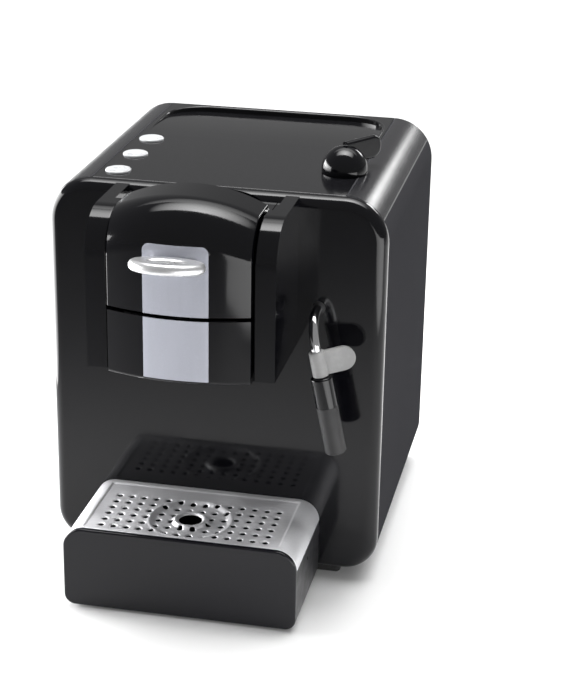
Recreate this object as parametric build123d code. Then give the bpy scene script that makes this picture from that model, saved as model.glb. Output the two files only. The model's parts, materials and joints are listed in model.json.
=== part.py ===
from build123d import *
import os
from math import cos, hypot, radians, sin

# Pod coffee machine, millimetres.  X to the right seen from the front, Y to the back, Z up.
# Z is 0 under the feet; X and Y are 0 in the middle of the whole machine.

# ---- body ----
body_width = 250.0
body_depth = 233.0            # front face of the front panel to the back
top_height = 300.0
foot_height = 8.0
foot_size = 22.0
foot_inset = 40.0             # foot centre from the body side
foot_from_front = 22.0        # foot centre from the panel face, and from the back
corner_round = 32.0           # upper long edges of the body
bottom_round = 26.0           # lower long edges
wall = 3.0
panel_thickness = 10.0
panel_bullnose = 8.0
rear_thickness = 4.0
seam = 0.3                    # joint line between fixed skins
running = 0.05                # radial play of a pin in its hole
slack = 0.6                   # side play of a moving cover or drawer
soft_edge = 0.8

# ---- brew head ----
head_centre = -5.0            # the head and the tray sit a little left of the middle
head_width = 134.0
head_reach = 76.4             # cheek fronts, out from the panel
cheek_width = 15.7
cheek_round = 30.0            # front upper corner seen from the side
cheek_edge = 7.0              # rounding of its outer edge
cheek_sharp = 1.2             # rounding of the edge beside the door
cheek_wall = 2.5
recess_side = 5.7             # how far the hollow behind the door cuts into each cheek
recess_depth = 5.0
recess_arc = 119.0            # plan radius of its rear edge
recess_front = 35.0           # and how far the cheek tops are cut in front of it

door_reach = 89.0             # middle of the door, out from the panel
door_bow = 8.9                # how far its middle bulges, seen from above
door_crown = 13.5             # arch above the top of the body
door_edge_rise = 1.5          # its sides above the top of the body
door_rear = 30.0              # rear edge of the door, out from the panel
door_roll = 30.0              # radius from the front over to the top
door_edge = 1.0
door_skin = 3.0
split_gap = 3.0
lower_height = 47.0           # lower cover
lower_drop = 2.0              # how far it hangs below the cheeks
hinge_drop = 4.0              # hinge axis under the top of the body
hinge_pin = 2.0               # radius
hinge_ear = 4.0               # radius
ear_length = 5.0
pin_in_cheek = 6.0
bridge_thickness = 5.0

trim_width = 46.0
trim_skin = 0.8
trim_drop = 13.0              # upper end of the silver plate under the top of the body
trim_corner = 5.0

handle_width = 52.0
handle_depth = 38.0
handle_thickness = 7.5
handle_hole = (25.0, 13.0)
handle_lift = 10.0            # degrees that the handle points up
handle_drop = 21.0            # its widest place under the top of the body
handle_tip = 127.0            # front of the handle, out from the panel
handle_edge = 3.4
handle_neck = 30.0            # width of its root on the door

# ---- brew group inside the head ----
brew_clear = 0.9              # between the piston's sleeve and the bridge's rib
capsule_gap = 30.0            # between seat and piston
seat_face = 64.0              # out from the panel
seat_thickness = 11.0
seat_half = 36.0
seat_depth = 4.0
seat_round = 12.0
puncture_radius = 2.0
puncture_length = 4.0
frame_half = 40.0
frame_plate = 2.0
frame_play = 0.4              # under the sleeve
frame_open = 1.5              # the sleeve stands this far above the frame
frame_back = 26.0             # cross plate, behind the panel face
piston_radius = 20.0
piston_length = 48.0
piston_stroke = 12.0
piston_play = 0.1
piston_wall = 4.0
piston_face = 10.0
sleeve_wall = 4.0
sleeve_front = 30.0
spout_reach = 50.0            # over the middle of the grille
spout_radius = 9.0
spout_length = 13.0           # below the lower cover
duct_radius = 5.0
duct_wall = 1.5
duct_bend = 8.0
duct_rise = 6.0               # its lower end above the lower cover's underside
seal_outer = 17.0
seal_inner = 12.0
seal_depth = 2.0
seal_stand = 0.8

# ---- drip tray ----
tray_width = 173.0
tray_reach = 86.0
tray_height = 64.3
tray_bottom = 2.0
tray_corner = 15.5
tray_low_corner = 8.0
tray_wall = 2.5
fascia_thickness = 3.0
sheet = 1.2
grille_lap = 15.5             # how far the grille wraps down
grille_gap = 1.4              # behind the tray's front plate
hole_radius = 1.8
hole_pitch_x = 9.4
hole_pitch_y = 9.7
hole_columns = 14
hole_rows = 6
trough_outer = 30.0
trough_inner = 19.0
trough_depth = 1.6
centre_hole = 9.5
lip_height = 1.0
grid_reach = 48.3             # middle of the hole grid, out from the panel
tongue_width = 14.0
tongue_length = 50.0
tongue_spread = 55.0          # tongue centres from the tray centre
tongue_play = 0.5
tongue_rise = 1.5             # its underside above the tray's
basin_round = 8.0
guide_stop = 12.0             # guide behind the tongue's end

# ---- controls ----
button_radius = 9.5
button_inset = 45.5           # from the left side of the body
button_first = 30.0           # behind the panel face
button_pitch = 44.5
button_rise = 1.5
button_travel = 2.0
button_play = 0.35
button_edge = 1.0
button_flange = 1.5           # wider and as thick as this
button_stem = 2.5             # radius
switch_drop = 16.0            # switch top under the top of the body
switch_half = 6.0
switch_height = 8.0
switch_pin = 2.0              # radius
carrier_margin = 5.0          # round the switches
carrier_plate = 2.0
carrier_post = 3.0
knob_inset = 43.5             # from the right side of the body
knob_depth = 68.0             # behind the panel face
knob_radius = 17.0
knob_centre_rise = 3.0
lever_angle = 56.0            # degrees from +X
lever_reach = 37.0
lever_thickness = 5.0
lever_low = 5.6
lever_high = 23.0
spindle_radius = 3.0
spindle_rise = 9.0            # above the top of the body
spindle_depth = 14.0          # in the valve
valve_drop = 16.0             # valve top under the top of the body
valve_length = 34.0
valve_body = 11.0             # radius
valve_neck = 6.0              # length
valve_port = 5.0              # radius
valve_port_reach = 22.0
valve_port_rise = 10.0        # side port above the valve's underside
bracket_half = 14.0
bracket_thickness = 3.0
bracket_drop = 22.0

# ---- steam wand ----
wand_beside_head = 15.3       # from the right side of the head
wand_drop = 81.7              # its hole under the top of the body
wand_tube = 3.5
wand_bore = 2.0
wand_straight = 10.0
wand_bend = 20.0
wand_swing = 12.0             # degrees to the right, as the machine stands
grip_top = 22.0               # distances down from the wand's hole
grip_bottom = 41.0
grip_wall = 2.2
grip_tab = 18.0               # tab end centre from the tube axis
grip_turn = 22.0              # degrees that the tab points back
grip_tab_height = 17.5
grip_tab_thickness = 3.2
nozzle_bottom = 64.0
nozzle_radius = 8.0
sleeve_radius = 7.7
sleeve_bottom = 100.0
core_wall = 0.7
bush_wall = 1.4
bush_rise = 0.8               # in front of the panel
collar_wall = 2.5
collar_gap = 1.0              # behind the panel
collar_length = 4.0
grip_edge = 1.0
nozzle_edge = 1.5
nozzle_overlap = 4.0          # over the tube's lower end
steam_hole = 1.2              # radius
sleeve_wall_low = 1.8
core_shortfall = 12.0         # the inner pipe ends this far above the sleeve's lower end
core_play = 0.1
collar_depth = 12.0           # part of the sleeve that holds the inner pipe
joint_start = 14.0            # behind the panel
joint_end = 40.0
joint_half = 9.0
joint_round = 3.0
socket_start = 22.0
arm_end = 30.0
arm_half = 3.0

# ---- water tank at the back ----
tank_margin = 45.0            # body side to tank side
tank_depth = 66.0
tank_bottom = 30.0
tank_drop = 16.0              # tank top under the top of the body
tank_wall = 2.5
tank_round = 10.0
tank_play = 0.8
bay_wall = 2.0
lid_rim = 4.0                 # thickness of the lid's plate
lid_skirt = 6.0
lid_grip = (60.0, 6.0, 4.0)
socket_length = 22.0
socket_throat = 3.0           # radius
bay_foot_inset = 14.0
foot_valve_radius = 7.0
foot_valve_height = 44.0
foot_valve_length = 9.0

# ---- back panel ----
vent_rows = 9
vent_low = 150.0
vent_pitch = 9.0
vent_open = 4.0
vent_half = 12.0
vent_inset = 24.0             # vents and inlet, from the body side
inlet_inset = 22.0
inlet_z = 62.0
inlet_half = 15.5
inlet_tall = 11.5
screw_inset = 14.0
screw_shank = 1.6
screw_head = 3.6
screw_sink = 2.2

# ---- boiler, pump and board ----
chassis_from_buttons = 13.5   # left plate, from the button axes
chassis_from_wand = 21.3      # right plate, from the wand's hole
chassis_plate = 2.0
chassis_end = 150.0           # behind the panel face
chassis_drop = 12.0           # under the top of the body
chassis_flange = 10.0
shelf_drop = 9.0              # shelf under the head's underside
low_window = (24.0, 134.0)    # front and back, behind the panel face
high_window_end = 134.0
window_margin = 4.0           # behind the steam valve's bracket
window_floor = 34.0
window_under_shelf = 18.0
window_over_shelf = 14.0
window_under_top = 18.0
boiler_radius = 36.0
boiler_depth = 92.0
boiler_height = 78.0
boiler_wall = 4.0
boiler_floor = 5.0
boiler_flange = 5.0
boiler_corner = 5.0
cap_step = 8.0
cap_rise = 4.0
bolt_count = 6
bolt_radius = 3.2
bolt_height = 3.5
port_radius = 3.0
port_height = 10.0
port_spread = 12.0
pump_z = 62.0
pump_front = 30.0
pump_back = 112.0
pump_radius = 13.0
pump_outlet = 5.0             # radius
pump_inlet = 6.0              # radius
outlet_length = 10.0
intake_length = 12.0
coil_half = 21.0
coil_inset = 26.0
coil_round = 4.0
coil_lug = 3.0
mount_radius = 18.0
mount_length = 8.0
mount_inset = 6.0
bracket_wide = 26.0
board_stand = 20.0
board_thickness = 1.6
board_front = 40.0
board_back = 132.0
board_low = 20.0
board_drop = 6.0              # its upper edge under the shelf
post_radius = 3.0
post_inset = 6.0
relay = (20.0, 28.0, 16.0)    # length, height and how far it stands off the board
relay_places = (50.0, 76.0)
relay_drop = 44.0             # its underside below the board's upper edge
transformer = (24.0, 40.0, 22.0)
transformer_place = 102.0
transformer_drop = 64.0
capacitor_radius = 5.0
capacitor_height = 14.0
capacitor_pitch = 16.0
plug_strip = (72.0, 10.0, 9.0)
strip_rise = 46.0             # above the board's lower edge
strip_inset = 8.0
hose_radius = 4.0
pipe_radius = 2.5
pipe_hole = 6.0               # in the shelf, radius
side_pipe = 30.0              # rising pipe, left of the pump

# ---- top ----
cover_rib = 2.0
rib_depth = 9.0
pocket_half = 88.5            # cup rest in the rear of the top
pocket_start = 134.0          # behind the panel face, where its floor begins to fall
pocket_end = 227.0
pocket_depth = 4.0
pocket_corner = 32.0

# ---- places worked out from the sizes above ----
overall_depth = body_depth + handle_tip
panel_y = handle_tip - overall_depth / 2
back_y = panel_y + body_depth
half_width = body_width / 2
button_x = -half_width + button_inset
head_left = head_centre - head_width / 2
head_right = head_centre + head_width / 2
wand_x = head_right + wand_beside_head
wand_height = top_height - wand_drop
cheek_inner = head_width / 2 - cheek_width
recess_half = cheek_inner + recess_side
recess_floor = top_height - recess_depth
door_half = cheek_inner - slack
door_bulge = (door_half ** 2 + door_bow ** 2) / (2 * door_bow)
door_rise = door_crown - door_edge_rise
door_arch = (door_half ** 2 + door_rise ** 2) / (2 * door_rise)
hinge_height = top_height - hinge_drop
trim_top = top_height - trim_drop
handle_height = top_height - handle_drop
sleeve_outer = piston_radius + piston_play + sleeve_wall
brew_height = recess_floor - bridge_thickness - wall - brew_clear - sleeve_outer
frame_bottom = brew_height - sleeve_outer - frame_play
frame_top = brew_height + sleeve_outer - frame_open
split_height = frame_bottom - frame_plate
lower_bottom = split_height - split_gap / 2 - lower_height
head_bottom = lower_bottom + lower_drop
spout_bottom = lower_bottom - spout_length
panel_back = panel_y + panel_thickness
cover_half = half_width - corner_round - seam / 2
chassis_left = button_x + chassis_from_buttons
chassis_right = wand_x - chassis_from_wand
shelf_top = head_bottom - shelf_drop
boiler_top = shelf_top + boiler_height
board_high = shelf_top - board_drop
duct_reach = seat_face + seat_thickness / 2
recess_back = panel_thickness - wall
switch_top = top_height - switch_drop
carrier_low = switch_top - switch_height - carrier_plate
valve_top = top_height - valve_drop
valve_bottom = valve_top - valve_length
bay_front = back_y - tank_depth - tank_play - bay_wall
tray_front = panel_y - tray_reach
tray_back = panel_y - seam
knob_x = half_width - knob_inset
tank_half = half_width - tank_margin
tank_top = top_height - tank_drop
vent_x = half_width - vent_inset
inlet_x = half_width - inlet_inset
grip_radius = wand_tube + grip_wall
core_radius = wand_tube + core_wall
bush_radius = wand_tube + bush_wall


def front(reach):
    return panel_y - reach


def inside(depth):
    return panel_y + depth


def block(x0, x1, y0, y1, z0, z1):
    centre = Pos((x0 + x1) / 2, (y0 + y1) / 2, (z0 + z1) / 2)
    return centre * Box(x1 - x0, y1 - y0, z1 - z0)


def rod(radius, start, end):
    start = Vector(*start)
    axis = Vector(*end) - start
    return extrude(Plane(origin=start, z_dir=axis) * Circle(radius), amount=axis.length)


def ring(outer, inner, start, end):
    return rod(outer, start, end) - rod(inner, start, end)


def along_y(outline, y_front, y_back):
    # an outline drawn in X and Z, as thick as the two Y values say
    return extrude(Plane.XZ.offset(-y_back) * outline, amount=y_back - y_front)


def along_x(outline, x0, x1):
    return extrude(Plane.YZ.offset(x0) * outline, amount=x1 - x0)


def along_z(outline, z0, z1):
    return extrude(Plane.XY.offset(z0) * outline, amount=z1 - z0)


def area(x0, x1, y0, y1):
    return Pos((x0 + x1) / 2, (y0 + y1) / 2) * Rectangle(x1 - x0, y1 - y0)


def round_area(x0, x1, y0, y1, radius):
    return Pos((x0 + x1) / 2, (y0 + y1) / 2) * RectangleRounded(x1 - x0, y1 - y0, radius)


def pipe(radius, points, bend):
    line = FilletPolyline(*points, radius=bend)
    start = Plane(origin=line @ 0, z_dir=line % 0)
    return sweep(start * Circle(radius), path=line)


def together(shapes):
    # separate solids written as one node
    solids = []
    for shape in shapes:
        solids += [Solid(solid.wrapped) for solid in shape.solids()]
    return Compound(children=solids)


def edges_at(shape, axis, value, reach=0.05):
    return shape.edges().filter_by_position(axis, value - reach, value + reach)


# ---------------------------------------------------------------- body

def body_outline(inset=0.0):
    low = foot_height + inset
    high = top_height - inset
    outline = area(-half_width + inset, half_width - inset, low, high)
    outline = fillet(outline.vertices().group_by(Axis.Y)[-1], corner_round - inset)
    return fillet(outline.vertices().group_by(Axis.Y)[0], bottom_round - inset)


def recess():
    # the hollow behind the door, an arc seen from above
    arc = Pos(head_centre, inside(recess_back) - recess_arc) * Circle(recess_arc)
    arc &= area(head_centre - recess_half, head_centre + recess_half, panel_y - 1, panel_back)
    return along_z(arc, recess_floor - 1, top_height + 1)


def make_front_panel():
    panel = along_y(body_outline(), panel_y, panel_back)
    panel = fillet(edges_at(panel, Axis.Y, panel_y), panel_bullnose)
    left = head_centre - cheek_inner
    right = head_centre + cheek_inner
    panel -= block(left, right, panel_y - 1, panel_back + 1, head_bottom + wall, recess_floor)
    panel -= recess()
    return panel - rod(bush_radius, (wand_x, panel_y - 1, wand_height),
                       (wand_x, panel_back + 1, wand_height))


def make_shell(side):
    skin = along_y(body_outline() - body_outline(wall), panel_back, back_y)
    edge = half_width - corner_round + seam / 2
    keep = block(edge, half_width + 1, panel_back, back_y, 0, top_height + 1)
    half = skin & keep
    return half if side > 0 else mirror(half, about=Plane.YZ)


def pocket_profile(drop):
    # side view of the cup rest: its floor leaves the top smoothly and falls in an arc to the back
    start = (inside(pocket_start), top_height - drop)
    end = (inside(pocket_end) + drop, start[1] - pocket_depth)
    middle = ((start[0] + end[0]) / 2, start[1] - pocket_depth / 4)
    roof = Polyline(end, (end[0], top_height + 1), (start[0], top_height + 1), start)
    return make_face(roof.edges() + [ThreePointArc(start, middle, end)])


def make_top_cover():
    plate_y = panel_back + seam
    cover = block(-cover_half, cover_half, plate_y, back_y, top_height - wall, top_height)
    cover = fillet(edges_at(cover, Axis.Y, plate_y).sort_by(Axis.Z)[-1], soft_edge)
    tub = along_x(pocket_profile(wall), -pocket_half - wall, pocket_half + wall)
    cover += tub & block(-cover_half, cover_half, plate_y, back_y, 0, top_height - wall)
    pocket = along_x(pocket_profile(0), -pocket_half, pocket_half)
    plan = round_area(-pocket_half, pocket_half, inside(pocket_start) - pocket_corner,
                      inside(pocket_end), pocket_corner)
    cover -= pocket & along_z(plan, top_height - pocket_depth - 1, top_height + 1)
    for x in (-cover_half, cover_half - cover_rib):
        cover += block(x, x + cover_rib, plate_y, back_y - rear_thickness, top_height - rib_depth,
                       top_height - wall)
    for y in button_places():
        cover -= rod(button_radius + button_play, (button_x, y, 0), (button_x, y, top_height + 1))
    knob = inside(knob_depth)
    return cover - rod(spindle_radius + button_play, (knob_x, knob, 0),
                       (knob_x, knob, top_height + 1))


def make_rear_panel():
    plate = along_y(body_outline(wall + seam), back_y - rear_thickness, back_y)
    plate -= block(-half_width, half_width, back_y - 9, back_y + 1, top_height - rib_depth, top_height)
    plate -= block(-tank_half - tank_play, tank_half + tank_play, back_y - 9, back_y + 1,
                   tank_bottom - tank_play, tank_top + tank_play)
    x0, x1, z0, z1 = inlet_cutout()
    plate -= block(x0, x1, back_y - 9, back_y + 1, z0, z1)
    for x, z in screw_places():
        plate -= rod(screw_shank, (x, back_y - 9, z), (x, back_y + 1, z))
        plate -= rod(screw_head + running, (x, back_y - screw_sink, z), (x, back_y + 1, z))
    for row in range(vent_rows):
        z = vent_low + row * vent_pitch
        for x in (-vent_x, vent_x):
            plate -= block(x - vent_half, x + vent_half, back_y - 9, back_y + 1, z, z + vent_open)
    return plate


def inlet_cutout():
    return inlet_x - inlet_half, inlet_x + inlet_half, inlet_z - inlet_tall, inlet_z + inlet_tall


def screw_places():
    side = half_width - screw_inset
    return [(x, z) for x in (-side, side) for z in (foot_height + 26, 120, top_height - 42)]


def make_case_screws():
    screws = []
    for x, z in screw_places():
        head = rod(screw_head, (x, back_y - screw_sink, z), (x, back_y - seam, z))
        head -= block(x - screw_head, x + screw_head, back_y - 1.2, back_y, z - 0.4, z + 0.4)
        shank = rod(screw_shank, (x, back_y - rear_thickness - 8, z), (x, back_y - screw_sink, z))
        screws.append(head + shank)
    return together(screws)


def make_base_plate():
    edge = half_width - corner_round - seam
    return block(-edge, edge, panel_back, back_y - rear_thickness - seam,
                 foot_height, foot_height + wall)


def foot_places():
    x = half_width - foot_inset
    return [(sx * x, y) for sx in (-1, 1)
            for y in (inside(foot_from_front), back_y - foot_from_front)]


def make_feet():
    feet = []
    for x, y in foot_places():
        half = foot_size / 2
        foot = block(x - half, x + half, y - half, y + half, 0, foot_height)
        foot = fillet(foot.edges().filter_by(Axis.Z), 3)
        feet.append(chamfer(edges_at(foot, Axis.Z, 0), 1))
    return together(feet)


# ---------------------------------------------------------------- brew head

def make_cheek(side):
    profile = area(front(head_reach), panel_y, head_bottom, top_height)
    corner = profile.vertices().sort_by(lambda v: v.Y - v.X)[-1]
    profile = fillet(corner, cheek_round)
    inner = head_centre + cheek_inner + slack
    cheek = along_x(profile, inner, head_right)
    outer_edges = edges_at(cheek, Axis.X, head_right)
    inner_edges = edges_at(cheek, Axis.X, inner)
    for edges, size in ((outer_edges, cheek_edge), (inner_edges, cheek_sharp)):
        cheek = fillet([e for e in edges if e.center().Y < panel_y - 1
                        and e.center().Z > head_bottom + 1], size)
    cheek -= block(inner - 1, head_centre + recess_half, front(recess_front), panel_y + 1,
                   recess_floor, top_height + 1)
    cheek -= block(inner + cheek_wall, head_right - cheek_wall,
                   front(head_reach) + cheek_edge + 3, panel_y + 1,
                   head_bottom + cheek_wall, hinge_height - 3 * cheek_wall)
    cheek -= rod(hinge_pin, (inner - 1, front(door_rear), hinge_height),
                 (inner + pin_in_cheek, front(door_rear), hinge_height))
    if side > 0:
        return cheek
    return mirror(cheek, about=Plane.YZ.offset(head_centre))


def make_head_bridge():
    half = cheek_inner
    floor = recess_floor - bridge_thickness
    bridge = block(head_centre - half, head_centre + half, front(door_rear) + slack,
                   panel_back, floor, recess_floor)
    for side in (-1, 1):
        x = head_centre + side * (door_half - ear_length / 2)
        play = ear_length / 2 + slack
        bridge -= block(x - play, x + play, front(door_rear) - 1,
                        front(door_rear) + hinge_ear + slack, floor - 1, recess_floor + 1)
    rib = block(head_centre - half, head_centre + half, panel_back - wall,
                panel_back, floor - wall, floor)
    return bridge + rib


def head_block(grow, z0, z1, y_rear, rolled):
    # the bulging, arched front of the head, grown or shrunk evenly
    half = door_half + grow
    crown = top_height + door_crown + grow
    nose = front(door_reach) - grow
    solid = block(head_centre - half, head_centre + half, nose, y_rear, z0, min(z1, crown))
    bulge = door_bulge + grow
    solid &= along_z(Pos(head_centre, nose + bulge) * Circle(bulge), z0 - 1, crown + 1)
    if not rolled:
        return solid
    arch = door_arch + grow
    solid &= along_y(Pos(head_centre, crown - arch) * Circle(arch), nose - 1, y_rear + 1)
    lead = [e for e in solid.edges() if e.center().Y < front(door_reach - 20)
            and e.center().Z > top_height and abs(e.center().X - head_centre) < 5]
    return fillet(lead, door_roll + grow)


def make_upper_door():
    low = split_height + split_gap / 2
    rear = front(door_rear)
    door = head_block(0, low, top_height + 99, rear, True)
    for x in (head_centre - door_half, head_centre + door_half):
        rim = [e for e in edges_at(door, Axis.X, x)
               if e.center().Y < rear - 0.1 and e.center().Z > low + 0.1]
        door = fillet(rim, door_edge)
    door -= head_block(-door_skin, low - 5, top_height + 99, rear + 5, True)
    for side in (-1, 1):
        x1 = head_centre + side * door_half
        x0 = x1 - side * ear_length
        door += rod(hinge_ear, (x0, rear, hinge_height), (x1, rear, hinge_height))
        door -= rod(hinge_pin + running, (x0 - side, rear, hinge_height),
                    (x1 + side, rear, hinge_height))
    return door


def make_hinge_pins():
    pins = []
    y = front(door_rear)
    for side in (-1, 1):
        x0 = head_centre + side * (door_half - ear_length)
        x1 = head_centre + side * (cheek_inner + slack + pin_in_cheek)
        pins.append(rod(hinge_pin, (x0, y, hinge_height), (x1, y, hinge_height)))
    return together(pins)


def trim_sheet(z0, z1, rolled, corners):
    high = top_height + 99 if rolled else z1
    grown = head_block(trim_skin, z0, high, front(door_rear), rolled)
    core = head_block(0, z0 - 1, high + 1, front(door_rear) + 1, rolled)
    window = area(head_centre - trim_width / 2, head_centre + trim_width / 2, z0, z1)
    if corners:
        window = fillet(window.vertices().group_by(Axis.Y)[-1], trim_corner)
    return (grown - core) & along_y(window, front(door_reach + 9), front(door_reach - 20))


def make_upper_trim():
    return trim_sheet(split_height + split_gap / 2, trim_top, True, True)


def make_lower_cover():
    high = split_height - split_gap / 2
    cover = head_block(0, lower_bottom, high, panel_y, False)
    under = [e for e in edges_at(cover, Axis.Z, lower_bottom) if e.center().Y < front(door_reach - 20)]
    cover = fillet(under, wall)
    cover -= head_block(-door_skin, lower_bottom + wall, high + 1, panel_y + 1, False)
    return cover - rod(spout_radius + slack, (head_centre, front(spout_reach), 0),
                       (head_centre, front(spout_reach), high))


def make_lower_trim():
    return trim_sheet(lower_bottom + wall, split_height - split_gap / 2, False, False)


def make_door_handle():
    disc = extrude(Ellipse(handle_width / 2, handle_depth / 2), amount=handle_thickness / 2,
                   both=True)
    disc -= extrude(Ellipse(handle_hole[0] / 2, handle_hole[1] / 2), amount=handle_thickness,
                    both=True)
    level = [e for e in disc.edges() if abs(abs(e.center().Z) - handle_thickness / 2) < 0.01]
    disc = fillet(level, handle_edge)
    half = handle_neck / 2
    neck = block(-half, half, handle_hole[1] / 2 + handle_edge, handle_depth / 2 + 6,
                 -handle_thickness / 2 + 1, handle_thickness / 2 - 1)
    lift = radians(handle_lift)
    tip = (handle_depth / 2 - handle_edge) * cos(lift) + handle_edge
    tip += (handle_thickness / 2 - handle_edge) * sin(lift)
    place = Pos(head_centre, front(handle_tip) + tip, handle_height) * Rot(-handle_lift, 0, 0)
    return (place * (disc + neck)) - head_block(trim_skin, split_height, top_height + 99,
                                                front(door_rear), True)


# ---------------------------------------------------------------- brew group

def make_brew_frame():
    x0 = head_centre - frame_half
    x1 = head_centre + frame_half
    y0 = front(seat_face + seat_thickness)
    y1 = inside(frame_back)
    frame = block(x0, x1, y0, y1, frame_bottom - frame_plate, frame_bottom)
    for x in (x0, x1 - frame_plate):
        frame += block(x, x + frame_plate, y0, y1, frame_bottom, frame_top)
    frame += block(chassis_left + chassis_plate, chassis_right - chassis_plate, y1,
                   y1 + frame_plate, frame_bottom - frame_plate, frame_top)
    frame -= rod(sleeve_outer, (head_centre, y1 - 1, brew_height),
                 (head_centre, y1 + 9, brew_height))
    return frame - rod(duct_radius, (head_centre, front(duct_reach), 0),
                       (head_centre, front(duct_reach), frame_bottom + 1))


def make_capsule_seat():
    y0 = front(seat_face + seat_thickness)
    y1 = front(seat_face)
    seat = block(head_centre - seat_half, head_centre + seat_half, y0, y1, frame_bottom,
                 frame_top - frame_plate)
    seat = fillet(seat.edges().filter_by(Axis.Y).sort_by(Axis.Z)[-2:], seat_round)
    seat -= rod(piston_radius, (head_centre, y1 - seat_depth, brew_height),
                (head_centre, y1 + 1, brew_height))
    seat -= rod(duct_radius - duct_wall, (head_centre, front(duct_reach), frame_bottom - 1),
                (head_centre, front(duct_reach), brew_height))
    return seat - rod(puncture_radius, (head_centre, y1 - seat_depth - puncture_length,
                                        brew_height), (head_centre, y1, brew_height))


def make_coffee_spout():
    x = head_centre
    route = [(x, front(duct_reach), frame_bottom), (x, front(duct_reach), frame_bottom - 16),
             (x, front(spout_reach), frame_bottom - 34),
             (x, front(spout_reach), lower_bottom + duct_rise)]
    duct = pipe(duct_radius, route, duct_bend)
    y = front(spout_reach)
    spout = rod(spout_radius, (x, y, spout_bottom), (x, y, lower_bottom + 12))
    spout = chamfer(edges_at(spout, Axis.Z, spout_bottom), 2)
    spout = spout + duct
    spout -= pipe(duct_radius - duct_wall, route, duct_bend)
    return spout - rod(duct_radius - duct_wall, (x, y, spout_bottom - 1),
                       (x, y, lower_bottom + duct_rise + 2))


def make_piston_sleeve():
    bore = piston_radius + piston_play
    return ring(sleeve_outer, bore, (head_centre, front(sleeve_front) + 2, brew_height),
                (head_centre, inside(frame_back) + frame_plate, brew_height))


def make_brew_piston():
    y0 = front(seat_face - capsule_gap)
    y1 = y0 + piston_length
    piston = rod(piston_radius, (head_centre, y0, brew_height), (head_centre, y1, brew_height))
    piston = chamfer(edges_at(piston, Axis.Y, y0), 1)
    piston -= rod(piston_radius - piston_wall, (head_centre, y0 + piston_face, brew_height),
                  (head_centre, y1 + 1, brew_height))
    return piston - ring(seal_outer, seal_inner, (head_centre, y0 - 1, brew_height),
                         (head_centre, y0 + seal_depth, brew_height))


def make_piston_seal():
    y0 = front(seat_face - capsule_gap)
    return ring(seal_outer, seal_inner, (head_centre, y0 - seal_stand, brew_height),
                (head_centre, y0 + seal_depth, brew_height))


# ---------------------------------------------------------------- drip tray

def tray_outline(inset, z0, z1):
    high = tray_height - inset
    outline = area(head_centre - tray_width / 2 + inset, head_centre + tray_width / 2 - inset,
                   tray_bottom, high)
    outline = fillet(outline.vertices().group_by(Axis.Y)[-1], tray_corner - inset)
    outline = fillet(outline.vertices().group_by(Axis.Y)[0], tray_low_corner)
    return outline & area(-half_width, half_width, z0, z1)


def make_drip_tray():
    shoulder = tray_height - grille_lap - seam
    y0 = tray_front + fascia_thickness
    tray = along_y(tray_outline(0, tray_bottom, shoulder), y0, tray_back)
    tray += along_y(tray_outline(sheet + seam, shoulder, tray_height), y0, tray_back)
    basin_half = tray_width / 2 - tray_corner / 2 - tray_wall
    basin = round_area(head_centre - basin_half, head_centre + basin_half,
                       y0 + tray_wall, tray_back - 2 * tray_wall, basin_round)
    tray -= along_z(basin, tray_bottom + tray_wall, tray_height + 1)
    for side in (-1, 1):
        x = head_centre + side * tongue_spread
        half = tongue_width / 2
        tray += block(x - half, x + half, tray_back, inside(tongue_length),
                      tray_bottom + tongue_rise, foot_height - tongue_play)
    return tray


def make_tray_fascia():
    plate = along_y(tray_outline(0, tray_bottom, tray_height), tray_front,
                    tray_front + fascia_thickness)
    return fillet(edges_at(plate, Axis.Y, tray_front), fascia_thickness / 2)


def grille_profile():
    # radial section of the pressed ring round the cup's place
    z = tray_height
    slope = trough_depth + 0.6
    top = [(centre_hole, z + lip_height), (centre_hole + 1.5, z + lip_height),
           (centre_hole + 3, z), (trough_inner, z), (trough_inner + slope, z - trough_depth),
           (trough_outer - slope, z - trough_depth), (trough_outer, z), (trough_outer + 2, z)]
    under = [(r, height - sheet) for r, height in reversed(top)]
    return make_face(Plane.XZ * Polyline(*[(r, h) for r, h in top + under], close=True))


def make_drip_grille():
    y0 = tray_front + fascia_thickness + grille_gap
    skin = along_y(tray_outline(0, tray_height - grille_lap, tray_height)
                   - tray_outline(sheet, 0, tray_height), y0, tray_back)
    centre = Pos(head_centre, front(spout_reach), 0)
    skin -= centre * Pos(0, 0, tray_height) * Cylinder(trough_outer + 2, 3 * sheet)
    skin += centre * revolve(grille_profile(), axis=Axis.Z)
    holes = []
    for column in range(hole_columns):
        x = (column - (hole_columns - 1) / 2) * hole_pitch_x
        for row in range(hole_rows):
            y = front(grid_reach) + (row - (hole_rows - 1) / 2) * hole_pitch_y
            if hypot(x, y - front(spout_reach)) > centre_hole + 3 + hole_radius:
                holes.append(Pos(head_centre + x, y, tray_height) * Cylinder(hole_radius, 8))
    return skin - holes


def make_tray_guides():
    guides = []
    for side in (-1, 1):
        x = head_centre + side * tongue_spread
        half = tongue_width / 2 + tongue_play
        guide = block(x - half - wall, x + half + wall, panel_back, inside(tongue_length + guide_stop),
                      tray_bottom, foot_height)
        guide -= block(x - half, x + half, panel_back - 1, inside(tongue_length) + tongue_play,
                       tray_bottom + tongue_rise - tongue_play, foot_height + 1)
        guides.append(guide)
    return together(guides)


# ---------------------------------------------------------------- controls

def button_places():
    return [inside(button_first + i * button_pitch) for i in range(3)]


def make_button(y):
    top = top_height + button_rise
    cap = rod(button_radius, (button_x, y, top_height - wall - 2), (button_x, y, top))
    cap = fillet(edges_at(cap, Axis.Z, top), button_edge)
    flange = top_height - wall - seam
    cap += rod(button_radius + button_flange, (button_x, y, flange - button_flange),
               (button_x, y, flange))
    return cap + rod(button_stem, (button_x, y, switch_top + button_travel + seam),
                     (button_x, y, flange))


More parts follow.
